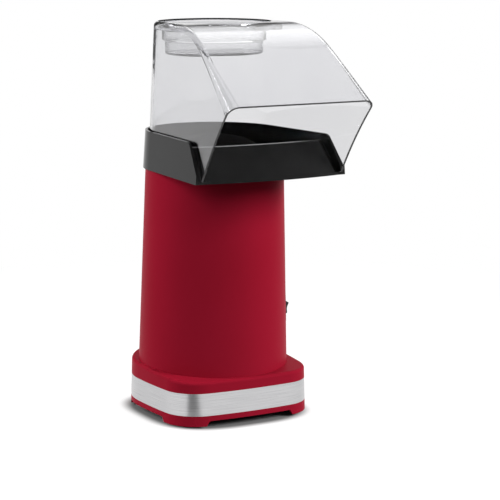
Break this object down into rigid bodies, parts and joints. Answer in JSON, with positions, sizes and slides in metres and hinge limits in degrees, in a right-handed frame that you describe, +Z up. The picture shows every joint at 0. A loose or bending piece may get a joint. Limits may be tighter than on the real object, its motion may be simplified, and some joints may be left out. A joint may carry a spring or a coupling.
{
  "type": "popcorn maker",
  "caption": "Hot air popcorn maker: tapered round column on a banded plinth, black chute tray, clear sloped hood with a lift-out measuring cup.",
  "frame": {"origin": "middle of the object's outline on the table, at the underside of the rubber feet", "axes": "+Z up, -Y to the front where the chute pours, +X to the right as seen from the front, on which side the switch sits"},
  "size_m": [0.1694, 0.2642, 0.405],
  "materials": {
    "red_plastic": "moulded red plastic, satin gloss",
    "band_steel": "horizontally brushed stainless steel",
    "black_plastic": "fine moulded black plastic",
    "foot_rubber": "soft black rubber",
    "screw_steel": "zinc plated steel",
    "switch_black": "gloss black plastic",
    "gland_rubber": "black rubber",
    "tray_black": "gloss black heat resistant plastic",
    "clear_plastic": "clear moulded polycarbonate",
    "cup_clear": "clear moulded polycarbonate",
    "chamber_aluminium": "drawn aluminium, satin",
    "gasket_felt": "white silicone seal",
    "jacket_steel": "bare sheet steel",
    "mica": "layered mica board",
    "heater_wire": "oxidised resistance wire",
    "thermostat_ceramic": "ceramic with a metal cap",
    "fan_plastic": "heat resistant moulded plastic",
    "motor_steel": "zinc plated drawn steel",
    "magnet_ferrite": "sintered ferrite",
    "armature_iron": "laminated iron with copper windings",
    "bush_bronze": "sintered bronze",
    "shaft_steel": "ground steel",
    "board_green": "printed circuit board"
  },
  "bodies": {
    "housing": {"base_plinth": "red_plastic", "steel_band": "band_steel", "bottom_plate": "black_plastic", "rubber_feet": "foot_rubber", "bottom_screws": "screw_steel", "body_column": "red_plastic", "column_screws": "screw_steel", "switch_body": "black_plastic", "cord_gland": "gland_rubber", "chute_tray": "tray_black", "popping_chamber": "chamber_aluminium", "chamber_gasket": "gasket_felt", "heater_jacket": "jacket_steel", "jacket_screws": "screw_steel", "heater_former": "mica", "heating_coil": "heater_wire", "thermostat": "thermostat_ceramic", "thermal_fuse": "jacket_steel", "fan_housing": "fan_plastic", "motor_can": "motor_steel", "motor_magnets": "magnet_ferrite", "motor_end_cap": "black_plastic", "motor_bushes": "bush_bronze", "motor_screws": "screw_steel", "rectifier_board": "board_green"},
    "hood": {"hood": "clear_plastic"},
    "cup": {"measuring_cup": "cup_clear"},
    "rotor": {"fan_impeller": "fan_plastic", "motor_armature": "armature_iron", "rotor_shaft": "shaft_steel"},
    "rocker": {"rocker_button": "switch_black"}
  },
  "joints": [
    {"name": "hood_lift", "type": "slide", "parent": "housing", "child": "hood", "axis": [0, 0, 1], "range_m": [0, 0.12]},
    {"name": "cup_lift", "type": "slide", "parent": "hood", "child": "cup", "axis": [0, 0, 1], "range_m": [0, 0.06]},
    {"name": "fan_spin", "type": "hinge", "parent": "housing", "child": "rotor", "pos_m": [0, 0.04533, 0.11], "axis": [0, 0, 1], "continuous": true},
    {"name": "switch_rock", "type": "hinge", "parent": "housing", "child": "rocker", "pos_m": [0.07154, 0.03342, 0.103], "axis": [0.2079, 0.9781, 0], "range_deg": [-18, 0]}
  ]
}
